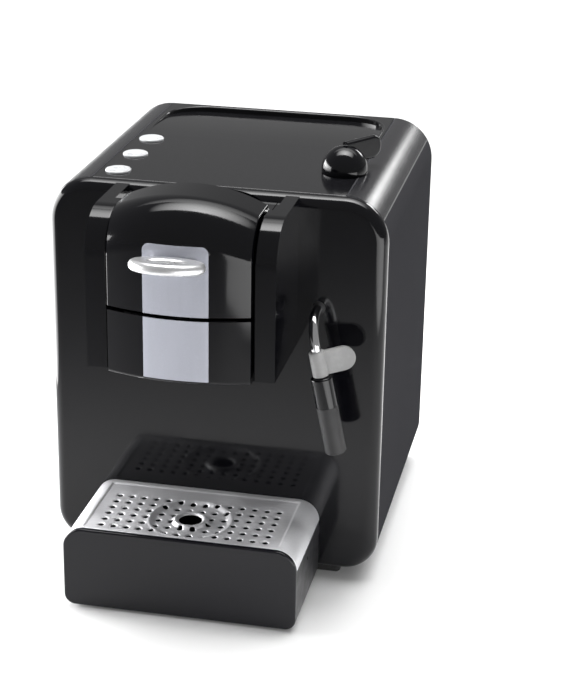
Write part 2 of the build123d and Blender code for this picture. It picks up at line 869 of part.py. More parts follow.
def make_switch_carrier():
    places = button_places()
    half = switch_half + carrier_margin
    x0 = button_x - half
    x1 = button_x + half
    y0 = places[0] - half - carrier_post
    y1 = places[-1] + half + carrier_post
    floor = carrier_low + carrier_plate
    plate = block(x0, x1, y0, y1, carrier_low, floor)
    for y in (y0, y1 - carrier_post):
        for x in (x0, x1 - carrier_post):
            plate += block(x, x + carrier_post, y, y + carrier_post, floor, top_height - wall)
    return plate


def make_switches():
    switches = []
    for y in button_places():
        body = block(button_x - switch_half, button_x + switch_half, y - switch_half,
                     y + switch_half, carrier_low + carrier_plate, switch_top - 1)
        switches.append(body + rod(switch_pin, (button_x, y, switch_top - 2),
                                   (button_x, y, switch_top)))
    return together(switches)


def make_steam_ball():
    z = top_height + knob_centre_rise
    y = inside(knob_depth)
    ball = Pos(knob_x, y, z) * Sphere(knob_radius)
    ball -= block(knob_x - 30, knob_x + 30, y - 30, y + 30, 0, top_height + seam)
    return ball - rod(spindle_radius, (knob_x, y, 0), (knob_x, y, top_height + spindle_rise))


def make_steam_lever():
    y = inside(knob_depth)
    low = top_height + lever_low
    high = top_height + lever_high
    end = lever_reach - (high - low) / 2
    blade = area(0, end, low, high)
    blade += Pos(end, (low + high) / 2) * Circle((high - low) / 2)
    half = lever_thickness / 2
    lever = along_y(blade, -half, half)
    rims = [e for e in lever.edges() if abs(abs(e.center().Y) - half) < 0.01
            and e.center().X > 1]
    lever = fillet(rims, half - 0.4)
    lever = Pos(knob_x, y, 0) * Rot(0, 0, lever_angle) * lever
    ball = Pos(knob_x, y, top_height + knob_centre_rise) * Sphere(knob_radius)
    return lever - ball


def make_valve_spindle():
    y = inside(knob_depth)
    return rod(spindle_radius, (knob_x, y, valve_top - spindle_depth),
               (knob_x, y, top_height + spindle_rise))


def make_steam_valve():
    y = inside(knob_depth)
    port = valve_bottom + valve_port_rise
    body = rod(valve_body, (knob_x, y, valve_bottom), (knob_x, y, valve_top - valve_neck))
    body += rod(valve_body - wall, (knob_x, y, valve_top - valve_neck), (knob_x, y, valve_top))
    body += rod(valve_port, (knob_x, y, port), (knob_x, y + valve_port_reach, port))
    body += rod(valve_port, (knob_x, y, valve_bottom - valve_port_rise), (knob_x, y, valve_bottom))
    return body - rod(spindle_radius + running, (knob_x, y, valve_top - spindle_depth - 1),
                      (knob_x, y, valve_top + 1))


def make_valve_bracket():
    y = inside(knob_depth)
    y0, y1 = y - bracket_half, y + bracket_half
    z = valve_bottom - bracket_thickness
    plate = block(chassis_right, knob_x + valve_body + valve_port, y0, y1, z, valve_bottom)
    plate += block(chassis_right, chassis_right + chassis_plate, y0, y1,
                   valve_bottom - bracket_drop, z)
    return plate - rod(valve_port, (knob_x, y, 0), (knob_x, y, top_height))


# ---------------------------------------------------------------- steam wand

def swung(shape):
    pivot = Pos(wand_x, panel_y, wand_height)
    return pivot * Rot(0, -wand_swing, 0) * shape


def wand_rod(radius, top, bottom):
    y = -wand_straight - wand_bend
    return rod(radius, (0, y, -bottom), (0, y, -top))


def make_wand_tube():
    y = -wand_straight - wand_bend
    route = [(0, panel_thickness + socket_start, 0), (0, y, 0),
             (0, y, nozzle_overlap - nozzle_bottom)]
    tube = pipe(wand_tube, route, wand_bend) - pipe(wand_bore, route, wand_bend)
    back = panel_thickness + collar_gap
    collar = ring(wand_tube + collar_wall, wand_tube, (0, back, 0), (0, back + collar_length, 0))
    return swung(tube + collar)


def make_wand_bush():
    return ring(bush_radius, wand_tube + running, (wand_x, front(bush_rise), wand_height),
                (wand_x, panel_back, wand_height))


def make_wand_grip():
    grip = wand_rod(grip_radius, grip_top, grip_bottom)
    y = -wand_straight - wand_bend
    half = grip_tab_height / 2
    middle = -(grip_top + grip_bottom) / 2
    tab = area(0, grip_tab, middle - half, middle + half)
    tab += Pos(grip_tab, middle) * Circle(half)
    tab = along_y(tab, -grip_tab_thickness / 2, grip_tab_thickness / 2)
    tab = Pos(0, y, 0) * Rot(0, 0, grip_turn) * tab
    grip = fillet(grip.edges(), grip_edge)
    return swung(grip + tab - wand_rod(wand_tube, grip_top - 9, grip_bottom + 9))


def make_wand_nozzle():
    nozzle = wand_rod(nozzle_radius, grip_bottom + seam, nozzle_bottom)
    nozzle = fillet(nozzle.edges().sort_by(Axis.Z)[-1], nozzle_edge)
    nozzle += wand_rod(core_radius, nozzle_bottom, sleeve_bottom - core_shortfall)
    nozzle -= wand_rod(wand_tube, 0, nozzle_bottom - nozzle_overlap)
    return swung(nozzle - wand_rod(steam_hole, 0, sleeve_bottom))


def make_frother_sleeve():
    sleeve = wand_rod(sleeve_radius, nozzle_bottom + seam, sleeve_bottom)
    sleeve = chamfer(sleeve.edges().sort_by(Axis.Z)[0], 1)
    low = nozzle_bottom + collar_depth
    sleeve -= wand_rod(core_radius + core_play, 0, low)
    return swung(sleeve - wand_rod(sleeve_radius - sleeve_wall_low, low, sleeve_bottom + 1))


def make_wand_joint():
    x, z = wand_x, wand_height
    y0 = inside(panel_thickness + joint_start)
    y1 = inside(panel_thickness + joint_end)
    body = block(x - joint_half, x + joint_half, y0, y1, z - joint_half, z + joint_half)
    body = fillet(body.edges().filter_by(Axis.Y), joint_round)
    body -= rod(wand_tube + running, (x, panel_y, z),
                (x, inside(panel_thickness + socket_start) + seam, z))
    for side in (-1, 1):
        arm = x + side * joint_half
        body += block(arm - wall / 2, arm + wall / 2, panel_back,
                      inside(panel_thickness + arm_end), z - arm_half, z + arm_half)
    return body


# ---------------------------------------------------------------- water tank

def tank_plan(inset, y0, y1):
    plan = area(-tank_half + inset, tank_half - inset, y0 + inset, y1 - inset)
    return fillet(plan.vertices(), tank_round - inset)


def make_water_tank():
    y0 = back_y - tank_depth
    tank = along_z(tank_plan(0, y0, back_y), tank_bottom, tank_top - 2 * lid_rim)
    tank -= along_z(tank_plan(tank_wall, y0, back_y), tank_bottom + tank_wall, tank_top)
    return tank - rod(foot_valve_radius - 2, (0, y0 - 1, foot_valve_height),
                      (0, y0 + tank_wall + 1, foot_valve_height))


def make_tank_lid():
    y0 = back_y - tank_depth
    length, depth, height = lid_grip
    low = tank_top - height - lid_rim
    inset = tank_wall + seam
    lid = along_z(tank_plan(0, y0, back_y), low, low + lid_rim)
    lid += along_z(tank_plan(inset, y0, back_y), low - lid_skirt, low)
    lid -= along_z(tank_plan(inset + tank_wall, y0, back_y), low - lid_skirt - 1, low)
    return lid + block(-length / 2, length / 2, back_y - 2 * depth, back_y - depth,
                       tank_top - height, tank_top)


def make_tank_valve():
    y0 = back_y - tank_depth
    z = foot_valve_height
    outer = rod(foot_valve_radius, (0, y0 - foot_valve_length, z), (0, y0, z))
    outer += rod(foot_valve_radius - 2, (0, y0, z), (0, y0 + tank_wall + 6, z))
    return outer - rod(foot_valve_radius - 4, (0, y0 - foot_valve_length - 1, foot_valve_height),
                       (0, y0 + tank_wall + 9, foot_valve_height))


def make_tank_bay():
    half = tank_half + tank_play
    y1 = back_y - rear_thickness
    low = tank_bottom - tank_play
    high = tank_top + tank_play
    bay = block(-half - bay_wall, half + bay_wall, bay_front, y1, low - bay_wall, high + bay_wall)
    bay -= block(-half, half, bay_front + bay_wall, y1 + 1, low, high)
    bay -= rod(foot_valve_radius + 3, (0, bay_front - 1, foot_valve_height), (0, y1, foot_valve_height))
    for x in (-half + bay_foot_inset, half - bay_foot_inset - wall):
        bay += block(x, x + wall, bay_front + 6, y1 - 6, foot_height + wall, low - bay_wall)
    return bay


def make_tank_socket():
    y1 = bay_front + bay_wall
    seat = y1 - foot_valve_length - 5
    outer = foot_valve_radius + wall
    socket = ring(outer, foot_valve_radius + running, (0, seat, foot_valve_height),
                  (0, y1, foot_valve_height))
    return socket + ring(outer, socket_throat, (0, y1 - socket_length, foot_valve_height),
                         (0, seat, foot_valve_height))


# ---------------------------------------------------------------- inside the body

def make_chassis(side):
    low = chassis_left if side < 0 else chassis_right - chassis_plate
    high = low + chassis_plate
    floor = foot_height + wall
    plate = block(low, high, panel_back, inside(chassis_end), floor, top_height - chassis_drop)
    y0, y1 = low_window
    plate -= block(low - 1, high + 1, inside(y0), inside(y1), window_floor,
                   shelf_top - window_under_shelf)
    y0 = knob_depth + bracket_half + window_margin
    plate -= block(low - 1, high + 1, inside(y0), inside(high_window_end),
                   shelf_top + window_over_shelf, top_height - window_under_top)
    flange = low - chassis_flange if side < 0 else high
    return plate + block(flange, flange + chassis_flange, panel_back, panel_back + chassis_plate,
                         floor + 2 * chassis_flange, top_height - 2 * window_under_top)


def make_chassis_shelf():
    shelf = block(chassis_left + chassis_plate, chassis_right - chassis_plate, panel_back + 8,
                  inside(chassis_end), shelf_top - chassis_plate, shelf_top)
    x = head_centre - side_pipe
    return shelf - rod(pipe_hole, (x, inside(board_front), 0), (x, inside(board_front), top_height))


def make_boiler():
    x, y = head_centre, inside(boiler_depth)
    body = rod(boiler_radius, (x, y, shelf_top), (x, y, boiler_top))
    body = fillet(edges_at(body, Axis.Z, shelf_top), boiler_corner)
    body += rod(boiler_radius + boiler_flange, (x, y, boiler_top - boiler_flange),
                (x, y, boiler_top))
    return body - rod(boiler_radius - boiler_wall, (x, y, shelf_top + boiler_floor),
                      (x, y, boiler_top + 1))


def make_boiler_cap():
    x, y = head_centre, inside(boiler_depth)
    z = boiler_top + boiler_flange
    cap = rod(boiler_radius + boiler_flange, (x, y, boiler_top), (x, y, z))
    cap += rod(boiler_radius - cap_step, (x, y, z), (x, y, z + cap_rise))
    low = z + cap_rise
    for side in (-1, 1):
        port = x + side * port_spread
        cap += rod(port_radius, (port, y + port_height, low), (port, y + port_height, low + port_height))
    return cap


def make_boiler_bolts():
    bolts = []
    z = boiler_top + boiler_flange
    for k in range(bolt_count):
        turn = radians(360 / bolt_count * (k + 0.5))
        x = head_centre + (boiler_radius + 1) * cos(turn)
        y = inside(boiler_depth) + (boiler_radius + 1) * sin(turn)
        bolts.append(along_z(Pos(x, y) * RegularPolygon(bolt_radius, 6), z, z + bolt_height))
    return together(bolts)


def make_pump_body():
    x = head_centre
    y0, y1 = inside(pump_front), inside(pump_back)
    body = rod(pump_radius, (x, y0, pump_z), (x, y1, pump_z))
    body += rod(pump_inlet, (x, y1, pump_z), (x, y1 + intake_length, pump_z))
    return body + rod(pump_outlet, (x, y0 - outlet_length, pump_z), (x, y0, pump_z))


def make_pump_coil():
    x = head_centre
    y0 = inside(pump_front + coil_inset)
    y1 = inside(pump_back - coil_inset)
    coil = block(x - coil_half, x + coil_half, y0, y1, pump_z - coil_half + 1,
                 pump_z + coil_half - 1)
    coil = fillet(coil.edges().filter_by(Axis.Y), coil_round)
    coil -= rod(pump_radius, (x, y0 - 1, pump_z), (x, y1 + 1, pump_z))
    half = coil_half + coil_lug
    top = pump_z + coil_half - 1
    return coil + block(x - half, x + half, y0 + mount_inset, y1 - mount_inset, top, top + 2)


def pump_cradles():
    return (inside(pump_front + mount_inset), inside(pump_back - mount_inset - mount_length))


def make_pump_mounts():
    mounts = []
    for y in pump_cradles():
        mounts.append(ring(mount_radius, pump_radius, (head_centre, y, pump_z),
                           (head_centre, y + mount_length, pump_z)))
    return mounts


def make_pump_bracket():
    x = head_centre
    floor = foot_height + wall
    bracket = block(x - bracket_wide, x + bracket_wide, inside(pump_front), inside(pump_back),
                    floor, floor + 2)
    half = coil_half + coil_lug
    for y in pump_cradles():
        leg = block(x - half, x + half, y, y + mount_length, floor + 2, pump_z)
        bracket += leg - rod(mount_radius, (x, y - 1, pump_z), (x, y + mount_length + 1, pump_z))
    return bracket


def on_board(place, low, size):
    # a component that stands off the board's outer face, with its place along Y and its underside
    length, height, reach = size
    x1 = chassis_left - board_stand - board_thickness
    return block(x1 - reach, x1, inside(place), inside(place + length), low, low + height)


def make_control_board():
    x1 = chassis_left - board_stand
    x0 = x1 - board_thickness
    board = block(x0, x1, inside(board_front), inside(board_back), board_low, board_high)
    for place in relay_places:
        board += on_board(place, board_high - relay_drop, relay)
    board += on_board(transformer_place, board_high - transformer_drop, transformer)
    first = board_front + 2 * post_inset
    z = (board_low + board_high) / 2 + 3
    for k in range(4):
        y = inside(first + k * capacitor_pitch)
        board += rod(capacitor_radius, (x0 - capacitor_height, y, z), (x0, y, z))
    return board + on_board(board_front + strip_inset, board_low + strip_rise, plug_strip)


def make_board_posts():
    x0 = chassis_left - board_stand
    posts = []
    for y in (inside(board_front + post_inset), inside(board_back - post_inset)):
        for z in (board_low + post_inset, board_high - post_inset):
            posts.append(rod(post_radius, (x0, y, z), (chassis_left, y, z)))
    return posts


def make_power_inlet():
    x0, x1, z0, z1 = inlet_cutout()
    y0 = back_y - rear_thickness - 22
    body = block(x0 + seam, x1 - seam, y0, back_y - 0.5, z0 + seam, z1 - seam)
    body += block(x0 - 3, x1 + 3, back_y - rear_thickness - 2, back_y - rear_thickness,
                  z0 - 3, z1 + 3)
    body -= block(x0 + 4, x1 - 4, y0 + 5, back_y + 1, z0 + 4, z1 - 4)
    for x, z in ((-7, -1.5), (0, 2.5), (7, -1.5)):
        body += block(inlet_x + x - 1, inlet_x + x + 1, y0 + 4, back_y - 6,
                      inlet_z + z - 2.2, inlet_z + z + 2.2)
    return body


def make_tank_hose():
    start = bay_front + bay_wall - socket_length
    x = head_centre
    end = inside(pump_back + intake_length)
    return pipe(hose_radius, [(0, start, foot_valve_height), (0, start - 7, foot_valve_height),
                              (x, end + 7, pump_z), (x, end, pump_z)], 3)


def make_pump_pipe():
    x = head_centre
    y = inside(pump_front - outlet_length)
    side = x - side_pipe
    rise = inside(board_front)
    end = inside(boiler_depth - side_pipe)
    z = shelf_top + window_over_shelf
    return pipe(pipe_radius, [(x, y, pump_z), (x, y - 7, pump_z), (side, y - 7, pump_z + 30),
                              (side, rise, pump_z + 52), (side, rise, z), (side + 2, end, z)], 5)


def make_steam_pipe():
    x = head_centre + boiler_radius - 16
    z = boiler_top + boiler_flange + cap_rise
    y = inside(boiler_depth)
    end = inside(knob_depth) + valve_port_reach
    port = valve_bottom + valve_port_rise
    return pipe(pipe_radius, [(x, y, z), (x, y, z + 8), (knob_x, end + 12, z + 8),
                              (knob_x, end + 12, port), (knob_x, end, port)], 4)


def make_wand_pipe():
    z = valve_bottom - valve_port_rise
    y = inside(knob_depth)
    back = inside(panel_thickness + joint_end)
    return pipe(pipe_radius, [(knob_x, y, z), (knob_x, y, wand_height),
                              (wand_x, back + 8, wand_height), (wand_x, back, wand_height)], 5)


# ---------------------------------------------------------------- writing the files

def whole_model():
    first, second, third = button_places()
    return {
        "front_panel": make_front_panel(),
        "top_cover": make_top_cover(),
        "left_shell": make_shell(-1),
        "right_shell": make_shell(1),
        "rear_panel": make_rear_panel(),
        "base_plate": make_base_plate(),
        "feet": make_feet(),
        "case_screws": make_case_screws(),
        "left_cheek": make_cheek(-1),
        "right_cheek": make_cheek(1),
        "head_bridge": make_head_bridge(),
        "lower_cover": make_lower_cover(),
        "lower_trim": make_lower_trim(),
        "upper_door": make_upper_door(),
        "upper_trim": make_upper_trim(),
        "door_handle": make_door_handle(),
        "hinge_pins": make_hinge_pins(),
        "brew_frame": make_brew_frame(),
        "capsule_seat": make_capsule_seat(),
        "coffee_spout": make_coffee_spout(),
        "piston_sleeve": make_piston_sleeve(),
        "brew_piston": make_brew_piston(),
        "piston_seal": make_piston_seal(),
        "drip_tray": make_drip_tray(),
        "tray_fascia": make_tray_fascia(),
        "drip_grille": make_drip_grille(),
        "tray_guides": make_tray_guides(),
        "espresso_button": make_button(first),
        "long_button": make_button(second),
        "steam_button": make_button(third),
        "switch_carrier": make_switch_carrier(),
        "switches": make_switches(),
        "steam_ball": make_steam_ball(),
        "steam_lever": make_steam_lever(),
        "valve_spindle": make_valve_spindle(),
        "steam_valve": make_steam_valve(),
        "valve_bracket": make_valve_bracket(),
        "wand_tube": make_wand_tube(),
        "wand_bush": make_wand_bush(),
        "wand_grip": make_wand_grip(),
        "wand_nozzle": make_wand_nozzle(),
        "frother_sleeve": make_frother_sleeve(),
        "wand_joint": make_wand_joint(),
        "water_tank": make_water_tank(),
        "tank_lid": make_tank_lid(),
        "tank_valve": make_tank_valve(),
        "tank_bay": make_tank_bay(),
        "tank_socket": make_tank_socket(),
        "chassis_left": make_chassis(-1),
        "chassis_right": make_chassis(1),
        "chassis_shelf": make_chassis_shelf(),
        "boiler": make_boiler(),
        "boiler_cap": make_boiler_cap(),
        "boiler_bolts": make_boiler_bolts(),
        "pump_body": make_pump_body(),
        "pump_coil": make_pump_coil(),
        "pump_supports": together([make_pump_bracket()] + make_pump_mounts()),
        "control_board": together([make_control_board()] + make_board_posts()),
        "power_inlet": make_power_inlet(),
        "pipes": together([make_tank_hose(), make_pump_pipe(), make_steam_pipe(),
                           make_wand_pipe()]),
    }


os.makedirs("parts", exist_ok=True)
for name, shape in whole_model().items():
    export_step(shape, f"parts/{name}.step")
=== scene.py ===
import json
import math

import bpy
import numpy
from mathutils import Euler, Matrix, Vector


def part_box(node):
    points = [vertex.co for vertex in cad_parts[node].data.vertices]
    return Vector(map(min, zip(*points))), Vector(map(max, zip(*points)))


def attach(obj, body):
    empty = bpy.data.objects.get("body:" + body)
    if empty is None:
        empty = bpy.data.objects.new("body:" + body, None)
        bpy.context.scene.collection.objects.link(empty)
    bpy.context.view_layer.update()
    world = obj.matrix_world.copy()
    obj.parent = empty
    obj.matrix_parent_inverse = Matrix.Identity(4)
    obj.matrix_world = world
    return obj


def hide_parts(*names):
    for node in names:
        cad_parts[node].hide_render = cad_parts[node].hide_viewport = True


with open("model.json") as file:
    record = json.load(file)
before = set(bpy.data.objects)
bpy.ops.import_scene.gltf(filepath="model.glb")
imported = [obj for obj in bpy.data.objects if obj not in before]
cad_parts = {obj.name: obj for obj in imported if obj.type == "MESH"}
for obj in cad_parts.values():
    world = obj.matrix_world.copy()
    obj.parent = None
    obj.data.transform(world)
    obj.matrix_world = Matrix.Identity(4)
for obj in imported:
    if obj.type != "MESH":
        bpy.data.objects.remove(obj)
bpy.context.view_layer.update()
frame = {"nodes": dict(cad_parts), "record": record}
nodes = frame["nodes"]
record = frame["record"]

MM = 0.001

# sizes of the replacement pieces, in millimetres; heights are above the CAD piece's own surface
GRILLE_CORNER = 15.5            # radius of the sheet's two rolled sides
GRILLE_MESH = 0.6               # spacing of the sheet's points
GRILLE_SHEET = 0.8
GRILLE_LIP = 1.0                # the CAD grille's ring stands this far above its sheet
HOLE_PITCH = (9.4, 9.7)
HOLE_COLUMNS, HOLE_ROWS = 14, 6
HOLE_RADIUS = 2.1
HOLE_MARGIN = 3                 # from the drain's edge to the nearest hole's
HOLE_RIM_DEPTH = 0.45
HOLE_RIM = (-0.3, 1.1)          # the rim's slope, out from the hole's edge
GRID_Y = -101.3                 # middle of the rows of holes
DISH_Y = -103.0                 # middle of the dish and the drain
DISH_RADIUS = 30.0
DISH_DEPTH = 1.7
DISH_SLOPE = 4.2
RIDGE_HEIGHT = 0.35             # a low ridge round the dish
RIDGE_OUT = 0.8
RIDGE_SPREAD = 0.9
DRAIN_RADIUS = 8.5
DRAIN_CATCH = 2                 # points this near the drain belong to it
DRAIN_LIP = (3, 6)              # slope of the raised ring, out from the drain's edge
DRAIN_LIP_SHARE = 0.6           # of the CAD grille's lip
DRAIN_FALL = 1.2
DRAIN_FALL_SPAN = (-0.2, 1.8)
STEP_DEPTH = 0.8                # the field with the holes lies this far below its border
STEP_SLOPE = (-0.6, 0.9)
STEP_OUT = 1.5                  # past the start of the rolled sides
STEP_FRONT = 4.5
STEP_BACK = 5.0

BEAD_INSET = 3.2                # from the top cover's sides
BEAD_INSET_BACK = 4.8
BEAD_CORNER = 32.5
BEAD_REACH = 84.0               # length of each side run, to its faded end
BEAD_POINTS = 24                # along each run and each corner
BEAD_FADE = 20                  # points over which each end fades
BEAD_END_WIDTH = 0.4            # share of its width left at the ends
BEAD_END_SINK = 0.05
BEAD_PROFILE = [(-1.5, -0.6), (-1.25, 0.0), (-0.8, 0.38), (0.0, 0.55), (0.8, 0.38),
                (1.25, 0.0), (1.5, -0.6)]

CORNER_ROUND = 32.0             # radius of the shells' upper corners
BAND_FROM, BAND_TO = 1.0, 62.0  # degrees from straight up
BAND_RAISED = 0.06
BAND_SINK = 0.3                 # its long edges go this far into the shell
BAND_EDGE = 0.02                # share of its width in which they do
BAND_END = 0.5                  # short of the shell's ends
BAND_ACROSS, BAND_ALONG = 33, 40

BUTTON_TURNS = 64
BUTTON_PROFILE = [(0.0, -0.35), (3.0, -0.33), (5.5, -0.24), (7.2, -0.08), (8.1, 0.0),
                  (8.7, -0.04), (9.15, -0.22), (9.4, -0.5), (9.5, -0.9), (9.5, -4.5),
                  (0.0, -4.5)]

# the stage, in metres: each light's name, size, brightness, place, target and spread in degrees
LIGHTS = [
    ("overhead", (2.4, 0.7), 2.3, (0.0, 0.25, 1.5), (0, 0.2, 0), 70),
    ("backdrop", (4.0, 2.4), 1.9, (0.0, 2.3, 2.3), (0, 2.3, 0), 100),
    ("back_right", (0.5, 0.3), 8.0, (0.62, 1.45, 0.78), (0.12, 0.05, 0.29), 180),
    ("left_low", (0.6, 0.38), 5.0, (-0.42, 0.0, 0.2), (0, -0.05, 0.2), 100),
    ("right_low", (0.8, 0.2), 2.0, (0.45, -0.47, 0.11), (0.02, -0.1, 0.2), 120),
]
WORLD_STRENGTH = 0.28
FLOOR_SIZE = 14.0
CAMERA_PLACE = (0.3012, -1.2603, 0.6782)
CAMERA_TURN = (11.66, 21.88, 0.94)      # azimuth, elevation and roll in degrees
CAMERA_LENS, CAMERA_SENSOR = 94.08, 36.0


# ---------------------------------------------------------------- node helpers

class Nodes:
    """Builds one material's node tree with short calls that pass sockets along."""

    def __init__(self, name):
        self.material = bpy.data.materials.new(name)
        self.material.use_nodes = True
        self.tree = self.material.node_tree
        self.tree.nodes.clear()
        output = self.add("ShaderNodeOutputMaterial")
        self.shader = self.add("ShaderNodeBsdfPrincipled")
        self.link(self.shader.outputs["BSDF"], output.inputs["Surface"])
        self.place = self.add("ShaderNodeTexCoord").outputs["Object"]

    def add(self, kind, **settings):
        node = self.tree.nodes.new(kind)
        for key, value in settings.items():
            setattr(node, key, value)
        return node

    def link(self, source, target):
        self.tree.links.new(source, target)

    def into(self, name, source):
        self.link(source, self.shader.inputs[name])

    def set(self, **values):
        for name, value in values.items():
            self.shader.inputs[name.replace("_", " ")].default_value = value

    def noise(self, scale, detail=3.0, stretch=None, rough=0.5):
        texture = self.add("ShaderNodeTexNoise")
        texture.inputs["Scale"].default_value = scale
        texture.inputs["Detail"].default_value = detail
        texture.inputs["Roughness"].default_value = rough
        where = self.place
        if stretch is not None:
            mapping = self.add("ShaderNodeMapping")
            mapping.inputs["Scale"].default_value = stretch
            self.link(where, mapping.inputs["Vector"])
            where = mapping.outputs["Vector"]
        self.link(where, texture.inputs["Vector"])
        return texture.outputs["Fac"]

    def remap(self, source, low, high, from_low=0.3, from_high=0.7):
        node = self.add("ShaderNodeMapRange")
        for name, value in (("From Min", from_low), ("From Max", from_high), ("To Min", low),
                            ("To Max", high)):
            node.inputs[name].default_value = value
        self.link(source, node.inputs["Value"])
        return node.outputs["Result"]

    def edges(self, low=0.52, high=0.62):
        pointiness = self.add("ShaderNodeNewGeometry").outputs["Pointiness"]
        return self.remap(pointiness, 0.0, 1.0, low, high)

    def math(self, operation, first, second):
        node = self.add("ShaderNodeMath", operation=operation)
        self.link(first, node.inputs[0])
        self.link(second, node.inputs[1])
        return node.outputs["Value"]

    def over(self, factor, below, above, blend="MIX"):
        """Lays one colour over another by a factor; each colour is a tuple or a socket."""
        node = self.add("ShaderNodeMix", data_type="RGBA", blend_type=blend)
        sockets = {socket.identifier: socket for socket in node.inputs}
        self.link(factor, sockets["Factor_Float"])
        for name, colour in (("A_Color", below), ("B_Color", above)):
            if isinstance(colour, tuple):
                sockets[name].default_value = (*colour, 1)
            else:
                self.link(colour, sockets[name])
        return next(socket for socket in node.outputs if socket.identifier == "Result_Color")

    def bump(self, source, strength, distance, chain=None):
        node = self.add("ShaderNodeBump")
        node.inputs["Strength"].default_value = strength
        node.inputs["Distance"].default_value = distance
        self.link(source, node.inputs["Height"])
        if chain is not None:
            self.link(chain, node.inputs["Normal"])
        return node.outputs["Normal"]


def shade(colour, factor):
    return tuple(min(1.0, c * factor) for c in colour)


# ---------------------------------------------------------------- materials

def gloss_plastic(name, colour, rough=0.06, wear=0.35, sheen=0.5):
    """Moulded high-gloss plastic: colour drift, faint haze, hairlines and pale worn edges."""
    m = Nodes(name)
    m.set(Specular_IOR_Level=sheen)
    base = m.over(m.remap(m.noise(9.0, 4.0), 0.0, 1.0), shade(colour, 0.85), shade(colour, 1.2))
    worn = m.math("MULTIPLY", m.edges(), m.remap(m.noise(260.0, 2.0), 0.0, wear, 0.45, 0.7))
    m.into("Base Color", m.over(worn, base, shade(colour, 2.6)))
    m.into("Roughness", m.remap(m.noise(34.0, 5.0, rough=0.6), rough, rough + 0.07))
    ripple = m.bump(m.noise(16.0, 2.0), 0.05, 0.0004)
    hair = m.noise(900.0, 2.0, stretch=(1.0, 0.05, 1.0))
    m.into("Normal", m.bump(hair, 0.02, 0.00002, ripple))
    return m.material


def satin_paint(name, colour, rough=0.3, flake_glint=0.0, sheen=0.5):
    """Sprayed paint: fine orange peel, flakes with a painted glint and slightly rubbed edges."""
    m = Nodes(name)
    m.set(Specular_IOR_Level=sheen)
    base = m.over(m.remap(m.noise(7.0, 3.0), 0.0, 1.0), shade(colour, 0.96), shade(colour, 1.04))
    # the flakes' sparkle is painted in as tiny lighter specks: a painted glint
    glint = m.over(m.remap(m.noise(1800.0, 1.0), 0.0, 0.5, 0.55, 0.75), base,
                   shade(colour, 1.15 + flake_glint))
    m.into("Base Color", m.over(m.remap(m.edges(0.54, 0.66), 0.0, 0.4, 0.0, 1.0), glint,
                                shade(colour, 1.7)))
    m.into("Roughness", m.remap(m.noise(60.0, 4.0), rough - 0.015, rough + 0.02))
    m.into("Normal", m.bump(m.noise(420.0, 2.0), 0.05, 0.00005))
    return m.material


def moulded(name, colour, rough=0.55, grain=700.0, depth=0.00012):
    """Spark-eroded moulded plastic or rubber: grain, dust in the grain, colour drift."""
    m = Nodes(name)
    base = m.over(m.remap(m.noise(11.0, 4.0), 0.0, 1.0), shade(colour, 0.85), shade(colour, 1.18))
    dust = m.remap(m.noise(48.0, 6.0, rough=0.65), 0.0, 0.35, 0.52, 0.72)
    m.into("Base Color", m.over(dust, base, shade(colour, 1.6)))
    m.into("Roughness", m.remap(m.noise(80.0, 3.0), rough - 0.08, rough + 0.08))
    m.into("Normal", m.bump(m.noise(grain, 3.0), 0.35, depth))
    return m.material


def metal(name, colour, rough=0.2, stretch=None, lines=600.0, depth=0.00004, strength=0.2,
          stain=0.12, metallic=1.0):
    """Metal with grain along one axis when stretch is given, water marks and handled patches."""
    m = Nodes(name)
    m.set(Metallic=metallic)
    marks = m.noise(26.0, 6.0, rough=0.62)
    base = m.over(m.remap(marks, 0.0, 1.0, 0.35, 0.75), colour, shade(colour, 1.0 - stain))
    streak = m.noise(lines, 4.0, stretch=stretch)
    m.into("Base Color", m.over(m.remap(streak, 0.0, 0.4), base, (0.82, 0.82, 0.84), "MULTIPLY"))
    m.into("Roughness", m.math("ADD", m.remap(marks, rough * 0.75, rough * 1.2),
                               m.remap(streak, 0.0, 0.06)))
    m.into("Normal", m.bump(streak, strength, depth))
    return m.material


def smoked_plastic(name, colour):
    """Dark smoked plastic of the water tank, mostly opaque, with a faint haze."""
    m = Nodes(name)
    m.into("Base Color", m.over(m.remap(m.noise(12.0, 4.0), 0.0, 1.0), colour, shade(colour, 1.3)))
    m.into("Roughness", m.remap(m.noise(70.0, 5.0), 0.08, 0.2))
    m.into("Normal", m.bump(m.noise(18.0, 2.0), 0.04, 0.0003))
    m.set(Transmission_Weight=0.15, IOR=1.49)
    return m.material


